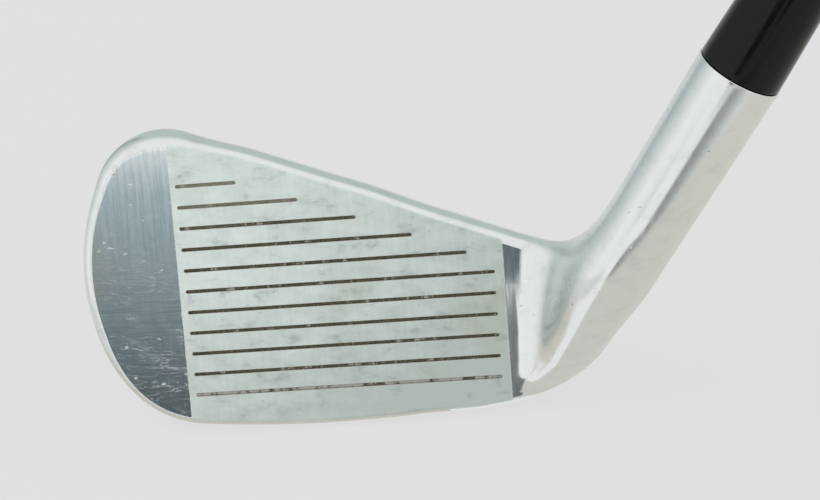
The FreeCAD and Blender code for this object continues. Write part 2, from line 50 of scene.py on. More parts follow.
# Face directions: X along the score lines to the heel, U up the face, N out of it.
FACE_X = np.array((1.0, 0.0, 0.0))
FACE_U = np.array((0.0, math.sin(LOFT), math.cos(LOFT)))
FACE_N = np.array((0.0, -math.cos(LOFT), math.sin(LOFT)))
TO_FACE = np.stack((FACE_X, FACE_U, FACE_N))

# The hosel's axis as seen square to the face: its direction, and where it crosses the middle line.
LEAN_X, LEAN_U = 0.5236, 0.8520
LEAN_CROSS = 72.25

# Score lines, from the top one down.
LINE_PITCH = 3.6
LINE_LENGTHS = (10.4, 20.5, 30.1, 39.2, 48.1, 52.6, 52.6, 52.6, 52.6, 52.6, 52.6)
LINE_R = 0.35

# Corners of the blade's straight-sided outline on the face, and the curves below it.
TOP_HEEL, TOE_TOP, TOE_SIDE, TOE_FOOT = (75.0, -0.49), (-8.61, 31.91), (-19.37, 4.68), (-12.64, -21.56)
ROCKER_X, ROCKER_R, CAMBER_R = 22.5, 220.0, 40.0
HEEL_X, HEEL_U, HEEL_R = 53.4, -0.1, 22.4
BLADE_THICKNESS = 5.4

# Heights along the shaft's axis from the ground, and radii about it.
TUBE_START, HOSEL_TOP = 47.0, 68.4
RIM_ROUNDING, BORE_R = 0.12, 4.86
SHAFT_TIP, FIRST_STEP, STEP_LENGTH, STEPS, SHAFT_END = 36.4, 270.0, 41.0, 11, 979.0
TIP_R, BUTT_R = 4.7, 7.62
FERRULE_LENGTH, FERRULE_BORE_R, FERRULE_R = 25.0, 4.72, 6.5
GRIP_MOUTH, GRIP_FLARE, CAP_SEAM, CAP_EDGE = 716.0, 940.0, 968.0, 983.8
MOUTH_R, FLARE_R, GRIP_R, GRIP_BORE_R = 9.0, 11.7, 13.4, 7.95

# Mesh pitch of the head, the box that holds it, and the kinds of its faces.
PITCH = 0.5
HEAD_LOW, HEAD_HIGH = (-22.2, -27.1, -22.13), (96.0, 37.3, 22.2)
FLAT, GROOVE = 1, 2


# ---------------------------------------------------------------- shapes of the head

def ease(t):
    t = np.clip(t, 0.0, 1.0)
    return t * t * (3.0 - 2.0 * t)


def round_max(a, b, r, c=0.0):
    """The larger of two distances, with the edge between them rounded to radius r."""
    u = a + r
    v = b + r
    bend = np.sqrt(np.maximum(u * u + v * v - 2.0 * c * u * v, 0.0)) / math.sqrt(1.0 - c * c) - r
    corner = (u - c * v > 0.0) & (v - c * u > 0.0)
    return np.where(corner, bend, np.maximum(a, b))


def round_min(a, b, r, c=0.0):
    """The smaller of two distances, rounded in the same way."""
    return -round_max(-a, -b, r, c)


def blend_min(a, b, k):
    """Smooth union, whose fillet fades out evenly."""
    h = np.maximum(k - np.abs(a - b), 0.0) / k
    return np.minimum(a, b) - h * h * h * k / 6.0


def line_field(p, q, x, u):
    """Signed distance from the line p-q, positive on its left."""
    dx, du = q[0] - p[0], q[1] - p[1]
    n = math.hypot(dx, du)
    return (-du * (x - p[0]) + dx * (u - p[1])) / n


def beside_axis(x, u):
    """How far right of the hosel's axis a point of the face is."""
    return LEAN_U * (x - LEAN_CROSS) - LEAN_X * u


def hosel_radius(s):
    return 6.38 + 0.27 * np.clip((s - 35.4) / 33.0, 0.0, 1.0)


def hosel_field(x, u, n):
    """The hosel, carried on down into the heel, where it grows thin."""
    start = TO_FACE @ (AXIS_FOOT - FACE_ORIGIN)
    along = TO_FACE @ AXIS_DIR
    dx, du, dn = x - start[0], u - start[1], n - start[2]
    s = dx * along[0] + du * along[1] + dn * along[2]
    away = np.sqrt(np.maximum(dx * dx + du * du + dn * dn - s * s, 1e-9))
    radius = hosel_radius(s) - 3.3 * ease((31.0 - s) / 27.0)
    radius = radius - 0.8 * ease((s - TUBE_START - 0.5) / 2.0)
    return away - radius, s


def blade_field(x, u, n, y, z):
    """The blade, with its rim's line, its heel and its sole as fields of their own."""
    # beyond its flat the face sweeps forward to the middle of the hosel
    aside = beside_axis(x, u)
    along = LEAN_X * (x - LEAN_CROSS) + LEAN_U * u
    flat_end = beside_axis(56.3 + 0.08 * u, u)
    reach = ease((aside - flat_end) / np.maximum(-flat_end * 1.15, 3.0))
    m = n - (8.6 + 0.3616 * along) * reach

    top = -line_field(TOP_HEEL, TOE_TOP, x, u)
    top = top + 0.5 * ease((x - 28.0) / 16.0) * ease((72.0 - x) / 12.0)
    top = top + 0.2 * ease((34.0 - x) / 8.0) + 0.55 * ease((14.0 - x) / 10.0)
    side = -line_field(TOE_TOP, TOE_SIDE, x, u) - 0.3
    low = -line_field(TOE_SIDE, TOE_FOOT, x, u)
    outline = round_max(top, side, 12.4, 0.007)
    outline = round_max(outline, low, 36.4, 0.81)

    rocker = np.sqrt((x - ROCKER_X) ** 2 + (ROCKER_R - z) ** 2)
    camber = CAMBER_R - np.sqrt(np.maximum(CAMBER_R ** 2 - y * y, 400.0))
    sole = rocker - (ROCKER_R - camber) - 0.7 * ease((x - 38.0) / 12.0)
    outline = round_max(outline, sole, 20.5, 0.386)

    # a round below the hosel, and above it an edge beside the hosel's axis
    heel = np.sqrt((x - HEEL_X) ** 2 + (u - HEEL_U) ** 2) - HEEL_R
    heel = np.where(x < HEEL_X, HEEL_U - HEEL_R - u - (HEEL_X - x) ** 2 / 30.0, heel)
    up = LEAN_X * (x - 72.5) + LEAN_U * (u + 11.9)
    edge = LEAN_U * (x - 72.5) - LEAN_X * (u + 11.9) + 0.06 * up
    heel = np.where(up > 0.0, edge, heel)
    heel = heel + 1.7 * ease((up + 14.0) / 27.0) - 0.9 * ease((61.0 - x) / 8.0)

    # the thin upper back, the slope under it and the muscle
    back = -m - BLADE_THICKNESS
    slope = 0.760 * (u + 4.0) - 0.649 * (m + BLADE_THICKNESS)
    muscle = 0.473 * (u + 11.12) - 0.881 * (m + 13.74)
    back = round_min(back, round_max(slope, muscle, 7.0, 0.93), 9.0, 0.649)
    # the sole's trailing edge, in three runs
    toe_trail = (-21.0 - 0.1857 * (x - 18.0) - m) / 1.0171
    mid_trail = (-21.0 + 0.1448 * (x - 18.0) - m) / 1.0104
    heel_trail = (-16.8 + 0.42 * (x - 47.0) - m) / 1.0846
    trail = round_max(toe_trail, mid_trail, 90.0, 0.947)
    trail = round_max(trail, heel_trail, 40.0, 0.95)
    rear = round_max(back, trail, 3.0, 0.5)

    # the rounding of the face's rim, widest at the top of the toe and fullest at the heel
    rim = 1.45 + 2.2 * np.exp(-((x + 3.0) ** 2 + (u - 27.0) ** 2) / 110.0)
    rim = rim + ease((x - 2.0) / 14.0) * ease((u + 8.0) / 8.0) + 0.7 * ease((-7.0 - x) / 9.0)
    full = ease((heel + 7.0) / 7.0) * ease((x - 57.0) / 9.0)
    rim = rim + (4.2 - rim) * full
    border = round_max(outline, heel, 0.8)
    blade = round_max(border, rear, 1.9 + 2.3 * full)
    return round_max(blade, m, rim), border + rim, heel, sole


def head_field(p):
    """Signed distance, near enough, from the head's surface; p is in the face's directions."""
    x, u, n = p[..., 0], p[..., 1], p[..., 2]
    y = FACE_ORIGIN[1] + u * FACE_U[1] + n * FACE_N[1]
    z = FACE_ORIGIN[2] + u * FACE_U[2] + n * FACE_N[2]
    blade, _, heel, sole = blade_field(x, u, n, y, z)
    hosel, s = hosel_field(x, u, n)
    foot = round_max(heel + 1.8, sole + 1.8, 3.0) - 14.0 * ease((s - 6.0) / 28.0)
    hosel = round_max(hosel, foot, 3.5)
    width = 4.0 + 11.0 * ease((s - 4.0) / 28.0)
    width = width * (1.0 - 0.75 * ease((beside_axis(x, u) + 3.0) / 6.0))
    return np.maximum(blend_min(blade, hosel, width), s - TUBE_START - 2.2)


def rim_gap(p):
    """How far points of the face lie beyond the line where its rim begins to round off."""
    x, u = p[..., 0], p[..., 1]
    n = np.zeros_like(x)
    y = FACE_ORIGIN[1] + u * FACE_U[1]
    z = FACE_ORIGIN[2] + u * FACE_U[2]
    return blade_field(x, u, n, y, z)[1]


def slopes(field, p, step=0.02):
    """Gradient of a field at points."""
    out = np.empty_like(p)
    for i in range(3):
        d = np.zeros(3)
        d[i] = step
        out[:, i] = (field(p + d) - field(p - d)) / (2.0 * step)
    return out


def skin(field, low, high, pitch):
    """Points and four-sided faces of a field's zero surface on a regular grid."""
    counts = [int(math.ceil((b - a) / pitch)) + 1 for a, b in zip(low, high)]
    axes = [a + pitch * np.arange(c) for a, c in zip(low, counts)]
    values = np.empty(counts, dtype=np.float64)
    for i, x in enumerate(axes[0]):
        u, n = np.meshgrid(axes[1], axes[2], indexing="ij")
        values[i] = field(np.stack((np.full_like(u, x), u, n), axis=-1))
    inside = values < 0.0
    corners = [(i, j, k) for i in (0, 1) for j in (0, 1) for k in (0, 1)]
    nx, ny, nz = counts
    total = np.zeros((nx - 1, ny - 1, nz - 1), dtype=np.int8)
    for i, j, k in corners:
        total += inside[i:nx - 1 + i, j:ny - 1 + j, k:nz - 1 + k]
    cells = np.argwhere((total > 0) & (total < 8))
    number = np.full((nx - 1, ny - 1, nz - 1), -1, dtype=np.int64)
    number[tuple(cells.T)] = np.arange(len(cells))
    place = np.zeros((len(cells), 3))
    hits = np.zeros(len(cells))
    for a in corners:
        for axis in range(3):
            if a[axis]:
                continue
            b = list(a)
            b[axis] = 1
            fa = values[tuple((cells + a).T)]
            fb = values[tuple((cells + b).T)]
            cross = (fa < 0.0) != (fb < 0.0)
            t = np.where(cross, fa / np.where(cross, fa - fb, 1.0), 0.0)
            spot = np.tile(np.array(a, dtype=float), (len(cells), 1))
            spot[:, axis] += t
            place[cross] += spot[cross]
            hits[cross] += 1
    points = np.array(low) + pitch * (cells + place / hits[:, None])
    quads = []
    for axis in range(3):
        one, two = (axis + 1) % 3, (axis + 2) % 3
        near = np.moveaxis(inside, (axis, one, two), (0, 1, 2))
        turn = np.moveaxis(number, (axis, one, two), (0, 1, 2))
        first, second = near[:-1, 1:-1, 1:-1], near[1:, 1:-1, 1:-1]
        for outward in (True, False):
            hit = np.argwhere((first != second) & (first == outward))
            a, b, c = hit[:, 0], hit[:, 1] + 1, hit[:, 2] + 1
            ring = [turn[a, b - 1, c - 1], turn[a, b, c - 1], turn[a, b, c], turn[a, b - 1, c]]
            if not outward:
                ring.reverse()
            quads.append(np.stack(ring, axis=1))
    quads = np.concatenate(quads)
    return points, quads[(quads >= 0).all(axis=1)]


def settle(field, p, rounds=4):
    """Pull points onto the surface along the field's gradient."""
    for _ in range(rounds):
        g = slopes(field, p)
        size = np.maximum((g * g).sum(axis=1), 0.05)
        move = field(p) / size
        p = p - np.clip(move, -0.4, 0.4)[:, None] * g
    return p


def line_up(p):
    """Move the points whose cell the rim's line crosses onto that line, and say which they are."""
    near = (np.abs(p[:, 2]) < 0.12) & (p[:, 0] < 57.0)
    spots = p[near].copy()
    spots[:, 2] = 0.0
    gap = rim_gap(spots)
    g = slopes(rim_gap, spots)
    g[:, 2] = 0.0
    close = np.abs(gap) < 0.5 * PITCH * np.abs(g).sum(axis=1)
    spots = spots - (gap / np.maximum((g * g).sum(axis=1), 0.05))[:, None] * g
    chosen = np.flatnonzero(near)[close]
    out = p.copy()
    out[chosen] = spots[close]
    moved = np.zeros(len(p), dtype=bool)
    moved[chosen] = True
    return out, moved


def split_along(quads, moved):
    """Cut the four-sided faces whose opposite corners were both moved along that diagonal."""
    out = []
    for a, b, c, d in quads.tolist():
        if moved[a] and moved[c]:
            out += [(a, b, c), (a, c, d)]
        elif moved[b] and moved[d]:
            out += [(b, c, d), (b, d, a)]
        else:
            out.append((a, b, c, d))
    return out


def groove_rings(length):
    """Outlines of one score line from its rim down to its floor, as (offset, depth) steps."""
    steps = ((0.0, 0.0), (0.035, 0.03), (0.07, 0.12), (0.13, 0.30), (0.22, 0.42), (0.33, 0.45))
    rings = []
    for inset, depth in steps:
        r = LINE_R - inset
        turns = [math.radians(90.0 + 180.0 * i / 10.0) for i in range(11)]
        ring = [(LINE_R + r * math.cos(t), r * math.sin(t), -depth) for t in turns]
        turns = [math.radians(-90.0 + 180.0 * i / 10.0) for i in range(11)]
        ring += [(length - LINE_R + r * math.cos(t), r * math.sin(t), -depth) for t in turns]
        rings.append(ring)
    return rings


def make_head():
    """The head's mesh in the face's directions, its flat filled again round the score lines."""
    points, quads = skin(head_field, HEAD_LOW, HEAD_HIGH, PITCH)
    points = settle(head_field, points)
    points, moved = line_up(points)
    bm = bmesh.new()
    verts = [bm.verts.new(p) for p in points]
    for face in split_along(quads, moved):
        bm.faces.new([verts[i] for i in face])
    bm.normal_update()
    kind = bm.faces.layers.int.new("kind")

    flat = []
    for f in bm.faces:
        if all(abs(v.co.z) < 2e-3 for v in f.verts):
            x, u = f.calc_center_median().xy
            if -1.2 < x < 54.2 and abs(u) < 20.0:
                flat.append(f)
    bmesh.ops.delete(bm, geom=flat, context="FACES")
    rim = [e for e in bm.edges if e.is_boundary and all(abs(v.co.z) < 4e-3 for v in e.verts)]
    for i, length in enumerate(LINE_LENGTHS):
        u = LINE_PITCH * (5 - i)
        rings = []
        for ring in groove_rings(length):
            rings.append([bm.verts.new((x, u + v, d)) for x, v, d in ring])
        count = len(rings[0])
        for a, b in zip(rings, rings[1:]):
            for j in range(count):
                k = (j + 1) % count
                wall = bm.faces.new((a[j], a[k], b[k], b[j]))
                wall[kind] = GROOVE
        floor = bm.faces.new(rings[-1])
        floor[kind] = GROOVE
        rim += [bm.edges.get((rings[0][j], rings[0][(j + 1) % count])) for j in range(count)]
    filled = bmesh.ops.triangle_fill(bm, edges=rim, use_beauty=True, use_dissolve=False)
    for f in filled["geom"]:
        if isinstance(f, bmesh.types.BMFace):
            f[kind] = FLAT
            if f.normal.z < 0.0:
                f.normal_flip()
    bm.normal_update()

    mesh = bpy.data.meshes.new("head_shape")
    bm.to_mesh(mesh)
    bm.free()
    return mesh


def finish_head(mesh):
    """Put the mesh in its place in the row frame, with the field's own normals."""
    count = len(mesh.vertices)
    flat = np.empty(count * 3)
    mesh.vertices.foreach_get("co", flat)
    local = flat.reshape(-1, 3)
    grad = slopes(head_field, local)
    grad /= np.maximum(np.linalg.norm(grad, axis=1), 1e-9)[:, None]
    grad[np.abs(local[:, 2]) < 3e-3] = (0.0, 0.0, 1.0)
    kinds = np.empty(len(mesh.polygons), dtype=np.int32)
    mesh.attributes["kind"].data.foreach_get("value", kinds)
    loop_vert = np.empty(len(mesh.loops), dtype=np.int32)
    mesh.loops.foreach_get("vertex_index", loop_vert)
    normals = grad[loop_vert]
    for poly in mesh.polygons:
        own = kinds[poly.index]
        span = slice(poly.loop_start, poly.loop_start + poly.loop_total)
        if own == FLAT:
            normals[span] = (0.0, 0.0, 1.0)
        elif own == GROOVE:
            normals[span] = tuple(poly.normal)
    row = (FACE_ORIGIN + local @ TO_FACE) * MM
    mesh.vertices.foreach_set("co", row.ravel())
    mesh.polygons.foreach_set("material_index", (kinds == GROOVE).astype(np.int32))
    mesh.update()
    mesh.normals_split_custom_set([tuple(n) for n in normals @ TO_FACE])
    return mesh


def link(name, mesh, *materials):
    obj = bpy.data.objects.new(name, mesh)
    bpy.context.scene.collection.objects.link(obj)
    for m in materials:
        mesh.materials.append(m)
    return obj


# ---------------------------------------------------------------- turned pieces on the shaft's axis

def quarter(steps):
    """Angles of a quarter turn, without its start."""
    return [math.radians(90.0 * i / steps) for i in range(1, steps + 1)]


def turned(name, stations, segments, relief=None):
    """A lathe mesh through stations of (distance along the axis, radius) in mm, open behind them."""
    side = np.array((0.0, 1.0, 0.0))
    other = np.cross(AXIS_DIR, side)
    s = np.array([a for a, _ in stations])
    r = np.array([b for _, b in stations])
    turn = np.arange(segments) * (2.0 * math.pi / segments)
    rr = np.repeat(r[:, None], segments, axis=1)
    if relief is not None:
        rr = rr + relief(s[:, None], turn[None, :])
    points = (AXIS_FOOT[None, None, :] + s[:, None, None] * AXIS_DIR
              + (rr * np.cos(turn))[:, :, None] * side + (rr * np.sin(turn))[:, :, None] * other)
    points = points.reshape(-1, 3) * MM
    faces = []
    for i in range(len(stations) - 1):
        a = i * segments
        b = a + segments
        for j in range(segments):
            k = (j + 1) % segments
            faces.append((a + j, b + j, b + k, a + k))
    mesh = bpy.data.meshes.new(name + "_shape")
    mesh.from_pydata(points.tolist(), [], faces)
    mesh.update()
    mesh.polygons.foreach_set("use_smooth", [True] * len(mesh.polygons))
    return mesh


def shaft_radius(index):
    return TIP_R + (BUTT_R - TIP_R) * index / STEPS


def shaft_stations():
    out = [(SHAFT_TIP, 4.0), (SHAFT_TIP, TIP_R)]
    for i in range(STEPS):
        s = FIRST_STEP + STEP_LENGTH * i
        low_r, high_r = shaft_radius(i), shaft_radius(i + 1)
        out += [(s - 0.35, low_r), (s - 0.05, low_r + 0.01)]
        for j in range(1, 8):
            t = j / 8.0
            out.append((s + 1.6 * t, low_r + (high_r - low_r) * float(ease(t))))
        out += [(s + 1.65, high_r - 0.005), (s + 1.95, high_r)]
    out += [(SHAFT_END - 0.4, BUTT_R), (SHAFT_END, 7.2), (SHAFT_END, 7.0)]
    return out


def ferrule_stations():
    foot_round, top_round = 0.4, 0.5
    straight = FERRULE_LENGTH - top_round
    out = [(HOSEL_TOP, FERRULE_BORE_R), (HOSEL_TOP, FERRULE_R - foot_round)]
    for t in quarter(6):
        out.append((HOSEL_TOP + foot_round - foot_round * math.cos(t),
                    FERRULE_R - foot_round + foot_round * math.sin(t)))
    for i in range(1, 25):
        h = foot_round + (straight - foot_round) * i / 24.0
        r = 6.5 - 0.35 * (h / 10.0) if h < 10.0 else 6.15 - 0.85 * ((h - 10.0) / 15.0) ** 1.15
        out.append((HOSEL_TOP + h, r))
    r = out[-1][1]
    for t in quarter(6):
        out.append((HOSEL_TOP + straight + top_round * math.sin(t),
                    r - top_round + top_round * math.cos(t)))
    out.append((HOSEL_TOP + FERRULE_LENGTH, FERRULE_BORE_R))
    return out


def grip_outer(s):
    s = np.asarray(s, dtype=float)
    low = MOUTH_R + (FLARE_R - MOUTH_R) * (s - GRIP_MOUTH) / (GRIP_FLARE - GRIP_MOUTH)
    high = FLARE_R + (GRIP_R - FLARE_R) * ease((s - GRIP_FLARE) / (CAP_SEAM - GRIP_FLARE))
    return np.where(s < GRIP_FLARE, low, high)


def grip_relief(s, turn):
    """Moulded crossing channels in panels, with plain rings between them."""
    first, last, panel_length = 742.0, 952.0, 42.0
    panel = ease((s - first) / 3.0) * ease((last - s) / 3.0)
    gap = np.abs(((s - first) % panel_length) - panel_length / 2.0)
    rings = ease((20.0 - gap) / 0.8)
    around = turn * 7.0
    along = s / 4.1 * math.pi / 2.0
    one = np.abs(np.sin(around + along))
    two = np.abs(np.sin(around - along))
    cut = np.minimum(ease(one / 0.32), ease(two / 0.32))
    lip = 0.35 * ease((GRIP_MOUTH + 3.0 - s) / 1.5) * ease((s - GRIP_MOUTH - 0.4) / 0.6)
    ring = 0.4 * (1.0 - ease(np.abs(gap - 20.6) / 0.7))
    return -0.45 * (1.0 - cut) * panel * rings - ring * panel + lip


def grip_stations():
    out = [(GRIP_MOUTH, GRIP_BORE_R), (GRIP_MOUTH, 8.6)]
    for v in np.concatenate((np.arange(716.15, 717.2, 0.2), np.arange(717.4, 967.6, 0.55))):
        mouth_round = 0.35 * float(ease((GRIP_MOUTH + 0.9 - v) / 0.8))
        out.append((float(v), float(grip_outer(v)) - mouth_round))
    out += [(CAP_SEAM - 0.25, GRIP_R - 0.02), (CAP_SEAM - 0.05, GRIP_R - 0.15),
            (CAP_SEAM, GRIP_R - 0.4), (CAP_SEAM, GRIP_BORE_R)]
    return out


def cap_stations():
    edge_round, vent_r = 2.2, 1.5
    flat_r = GRIP_R - edge_round
    low, high = CAP_SEAM + 0.25, CAP_EDGE - edge_round
    out = [(CAP_SEAM, GRIP_BORE_R), (CAP_SEAM, GRIP_R - 0.5), (CAP_SEAM + 0.06, GRIP_R - 0.2),
           (low, GRIP_R)]
    out += [(low + (high - low) * i / 10.0, GRIP_R) for i in range(1, 11)]
    for t in quarter(8):
        out.append((high + edge_round * math.sin(t), flat_r + edge_round * math.cos(t)))
    for i in range(1, 12):
        r = flat_r - 9.2 * i / 11.0
        out.append((CAP_EDGE + 0.2 * (1.0 - (r / flat_r) ** 2), r))
    out += [(CAP_EDGE + 0.15, vent_r + 0.25), (CAP_EDGE, vent_r + 0.05), (CAP_EDGE - 0.3, vent_r),
            (SHAFT_END, vent_r), (SHAFT_END, GRIP_BORE_R - 0.05)]
    return out


# ---------------------------------------------------------------- materials

class Nodes:
    """Adds shader nodes to a material or a world, and joins them."""

    def __init__(self, owner, shader, output):
        owner.use_nodes = True
        self.tree = owner.node_tree
        self.tree.nodes.clear()
        out = self.tree.nodes.new(output)
        self.shader = self.add(shader)
        self.tree.links.new(self.shader.outputs[0], out.inputs["Surface"])

    def add(self, kind, props=None, **inputs):
        """A new node; an input is given by its name, or by its number as in i0."""
        node = self.tree.nodes.new(kind)
        for key, value in (props or {}).items():
            setattr(node, key, value)
        for key, value in inputs.items():
            self.put(node, key, value)
        return node

    def put(self, node, key, value):
        numbered = key[0] == "i" and key[1:].isdigit()
        socket = node.inputs[int(key[1:]) if numbered else key]
        if isinstance(value, bpy.types.NodeSocket):
            self.tree.links.new(value, socket)
        else:
            socket.default_value = value

    def coord(self, kind):
        return self.add("ShaderNodeTexCoord").outputs[kind]

    def math(self, op, a, b=0.0, c=0.0):
        return self.add("ShaderNodeMath", {"operation": op}, i0=a, i1=b, i2=c).outputs[0]

    def times(self, a, b):
        return self.math("MULTIPLY", a, b)

    def plus(self, a, b):
        return self.math("ADD", a, b)

    def minus(self, a, b):
        return self.math("SUBTRACT", a, b)

    def swing(self, pattern, amount):
        """A pattern between 0 and 1, moved to swing about zero."""
        return self.times(self.minus(pattern, 0.5), amount)

    def between(self, value, low, high, to_low=0.0, to_high=1.0, smooth=True):
        kind = "SMOOTHSTEP" if smooth else "LINEAR"
        return self.add("ShaderNodeMapRange", {"interpolation_type": kind},
                        i0=value, i1=low, i2=high, i3=to_low, i4=to_high).outputs[0]

    def noise(self, where, scale, detail=3.0, rough=0.55, warp=0.0):
        return self.add("ShaderNodeTexNoise", Vector=where, Scale=scale, Detail=detail,
                        Roughness=rough, Distortion=warp).outputs[0]

    def place(self, where, scale=(1.0, 1.0, 1.0), turn=(0.0, 0.0, 0.0), move=(0.0, 0.0, 0.0)):
        return self.add("ShaderNodeMapping", Vector=where, Scale=scale, Rotation=turn,
                        Location=move).outputs[0]

    def mix(self, share, a, b):
        return self.add("ShaderNodeMix", {"data_type": "RGBA"}, i0=share, i6=a, i7=b).outputs[2]

    def split(self, vector):
        return self.add("ShaderNodeSeparateXYZ", i0=vector).outputs


class Surface(Nodes):
    """The nodes of one material."""

    def __init__(self, name, shader="ShaderNodeBsdfPrincipled"):
        self.material = bpy.data.materials.new(name)
        super().__init__(self.material, shader, "ShaderNodeOutputMaterial")

    def millimetres(self, turn=(0.0, 0.0, 0.0), move=(0.0, 0.0, 0.0)):
        return self.place(self.coord("Object"), (1000.0, 1000.0, 1000.0), turn, move)

    def face_mm(self):
        """Millimetres along the lines, up the face and out of it."""
        return self.millimetres((LOFT - math.pi / 2.0, 0.0, 0.0), tuple(-(TO_FACE @ FACE_ORIGIN)))

    def axis_mm(self):
        """Millimetres across and along the shaft's axis."""
        return self.millimetres((0.0, LIE - math.pi / 2.0, 0.0))

    def bump(self, height, depth=1.0):
        """A normal from a height in millimetres times a depth."""
        return self.add("ShaderNodeBump", Height=self.times(height, depth * MM),
                        Distance=1.0, Strength=1.0).outputs[0]

    def finish(self, **inputs):
        """Set the shader's inputs, with _ in a name for each space."""
        for key, value in inputs.items():
            self.put(self.shader, key.replace("_", " "), value)
        return self.material


def rgb(r, g, b):
    """Colour given by its 0-255 display values."""
    def channel(v):
        v = v / 255.0
        return v / 12.92 if v <= 0.04045 else ((v + 0.055) / 1.055) ** 2.4
    return (channel(r), channel(g), channel(b), 1.0)


def head_material():
    s = Surface("forged_head_steel")
    face = s.face_mm()
    x, u, n = s.split(face)

    # where the face is blasted
    rough_edge = s.swing(s.noise(face, 2.2, 2.0), 0.35)
    left_line = s.plus(s.math("MULTIPLY_ADD", u, 0.008, -0.95), rough_edge)
    left = s.between(s.minus(x, left_line), -0.18, 0.18)
    right = s.between(s.plus(x, rough_edge), 54.25, 53.75)
    front = s.between(n, -0.22, -0.06)
    blast = s.times(s.times(left, right), front)

    # patterns that several features share
    cloud = s.noise(s.place(face, (0.055, 0.075, 0.075)), 1.0, 5.0, 0.6, 0.4)
    mottle = s.noise(s.place(face, (0.22, 0.4, 0.4)), 1.0, 5.0, 0.6, 0.3)
    fine = s.noise(face, 5.5, 3.0, 0.6)
    streak = s.noise(s.place(face, (2.6, 0.16, 0.3)), 1.0, 4.0, 0.6)
    upright = s.noise(s.place(face, (1.5, 0.05, 0.3)), 1.0, 3.0, 0.6)
    grain = s.noise(face, 3.4, 4.0, 0.7)
    sand = s.noise(face, 9.0, 2.0, 0.6)

    # the blasted area: greyer to the heel and the sole, mottled, stained and a little rusty
    stain = rgb(142, 150, 148)
    heelward = s.between(x, -4.0, 56.0, 0.0, 1.0, False)
    tone = s.plus(s.times(cloud, 0.55), s.times(heelward, 0.55))
    tone = s.plus(tone, s.swing(upright, 0.34))
    tone = s.plus(tone, s.between(u, 4.0, -24.0, 0.0, 0.38))
    tone = s.plus(tone, s.swing(mottle, 0.9))
    tone = s.plus(tone, s.swing(fine, 0.55))
    blasted = s.mix(s.between(tone, 0.1, 0.95, 0.0, 1.0, False), rgb(222, 232, 226), rgb(184, 194, 188))
    blasted = s.mix(s.times(s.between(mottle, 0.56, 0.74), 0.5), blasted, stain)
    rust = s.times(s.between(cloud, 0.54, 0.72), s.between(x, 12.0, 40.0))
    blasted = s.mix(s.times(rust, 0.35), blasted, rgb(176, 174, 156))

    # the polished rest, brushed on the toe: upright above, crosswise below
    polished = s.mix(s.between(mottle, 0.45, 0.8), rgb(230, 234, 233), rgb(219, 224, 223))
    toe = s.times(s.between(x, 3.0, -1.0), s.between(n, -0.10, -0.02))
    crosswise = s.noise(s.place(face, (0.09, 2.4, 0.3), (0.0, 0.0, 0.14)), 1.0, 5.0, 0.7)
    below = s.times(s.between(crosswise, 0.42, 0.66), s.between(u, 10.0, -4.0))
    above = s.times(s.between(upright, 0.42, 0.66), s.between(u, 0.0, 12.0))
    grey = s.times(s.math("MAXIMUM", below, above), s.times(toe, 0.4))
    polished = s.mix(grey, polished, rgb(178, 186, 190))
    mid_height = s.between(s.math("ABSOLUTE", s.minus(u, 5.0)), 11.0, 3.0)
    brown = s.times(s.times(s.between(x, -8.0, -17.0), mid_height), toe)
    brown = s.times(brown, s.between(cloud, 0.36, 0.6))
    polished = s.mix(s.times(brown, 0.6), polished, rgb(226, 214, 196))

    # scratches at several angles, gathered on the toe, and scuffs on the blasted area
    marks = None
    for turn, stretch in ((0.12, 0.8), (0.30, 1.1), (-0.08, 0.6), (0.52, 0.7)):
        leaned = s.place(face, turn=(0.0, 0.0, turn))
        warp = s.noise(s.place(leaned, (0.085, stretch, 0.4)), 1.6, 2.0, 0.6)
        line = s.between(s.math("ABSOLUTE", s.minus(warp, 0.5)), 0.0, 0.005, 1.0, 0.0)
        thin = s.between(s.noise(s.place(leaned, (0.13, 0.5, 0.2)), 1.0, 3.0), 0.50, 0.62)
        line = s.times(line, thin)
        marks = line if marks is None else s.math("MAXIMUM", marks, line)
    scuff_cloud = s.noise(s.place(face, (0.11, 0.13, 0.1), (0.0, 0.0, 0.5)), 1.0, 3.0)
    scuffs = s.times(s.times(marks, s.between(scuff_cloud, 0.50, 0.60)), blast)
    low_toe = s.times(s.between(x, 8.0, -1.0), s.between(u, 12.0, -4.0, 0.35, 1.0))
    marks = s.times(marks, s.math("MAXIMUM", low_toe, 0.08))

    # small nicks, bent out of round
    wobble = s.add("ShaderNodeTexNoise", Vector=face, Scale=1.6, Detail=2.0).outputs["Color"]
    bent = s.add("ShaderNodeVectorMath", {"operation": "ADD"},
                 i0=s.place(face, (0.8, 1.7, 1.0), (0.0, 0.0, 0.7)), i1=wobble).outputs[0]
    nick = s.add("ShaderNodeTexVoronoi", {"feature": "F1"}, Vector=bent, Scale=0.42)
    dent = s.times(s.between(nick.outputs["Distance"], 0.02, 0.15, 1.0, 0.0),
                   s.between(s.noise(face, 0.21, 2.0), 0.50, 0.60))

    # roughness: more toward the heel, in the concave sweep and on the satin back
    aside = s.math("MULTIPLY_ADD", u, -LEAN_X, s.math("MULTIPLY_ADD", x, LEAN_U, -LEAN_U * LEAN_CROSS))
    sweep = s.times(s.between(x, 57.0, 60.0), s.between(aside, -3.5, -7.0))
    satin = s.times(s.between(n, -3.0, -4.5), s.between(x, 58.0, 46.0))
    rough_flat = s.plus(s.between(streak, 0.3, 0.75, 0.07, 0.15), s.times(marks, 0.14))
    rough_flat = s.plus(rough_flat, s.between(x, 56.5, 60.0, 0.0, 0.07))
    rough_flat = s.plus(rough_flat, s.times(sweep, 0.13))
    rough_flat = s.plus(rough_flat, s.times(satin, 0.33))
    rough_face = s.between(s.plus(s.times(grain, 0.5), cloud), 0.5, 1.1, 0.55, 0.68)
    rough = s.add("ShaderNodeMix", {"data_type": "FLOAT"}, i0=blast, i2=rough_flat, i3=rough_face)

